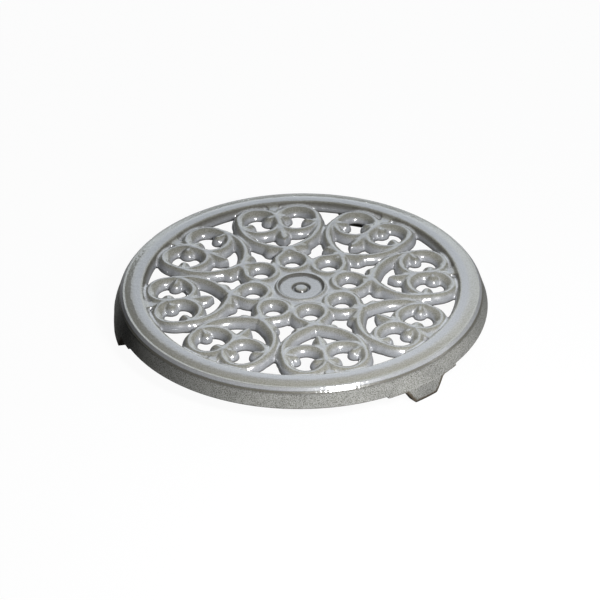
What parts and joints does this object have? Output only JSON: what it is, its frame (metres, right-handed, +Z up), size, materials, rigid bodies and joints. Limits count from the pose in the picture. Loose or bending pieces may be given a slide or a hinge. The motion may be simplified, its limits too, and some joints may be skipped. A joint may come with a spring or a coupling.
{
  "type": "openwork round trivet",
  "caption": "Round openwork cast-iron trivet in pale grey enamel: flared rim, heart and lily tracery, eyelets round a knobbed hub, on short cast feet, to hold a hot pot off the table.",
  "frame": {"origin": "centre of the circle of feet, on the surface that the trivet stands on", "axes": "+Z up, the trivet's axis; one heart motif points along -Y, which is the front; one foot is at -X"},
  "size_m": [0.2307, 0.23, 0.024],
  "materials": {
    "enamelled_iron": "glossy pale grey vitreous enamel that thins to olive on edges and slopes"
  },
  "bodies": {
    "root": {"rim": "enamelled_iron", "hub": "enamelled_iron", "eyelet_1": "enamelled_iron", "eyelet_2": "enamelled_iron", "eyelet_3": "enamelled_iron", "eyelet_4": "enamelled_iron", "eyelet_5": "enamelled_iron", "eyelet_6": "enamelled_iron", "eyelet_7": "enamelled_iron", "eyelet_8": "enamelled_iron", "heart_1": "enamelled_iron", "heart_2": "enamelled_iron", "heart_3": "enamelled_iron", "heart_4": "enamelled_iron", "heart_5": "enamelled_iron", "heart_6": "enamelled_iron", "heart_7": "enamelled_iron", "heart_8": "enamelled_iron", "foot_1": "enamelled_iron", "foot_2": "enamelled_iron", "foot_3": "enamelled_iron"}
  },
  "joints": []
}
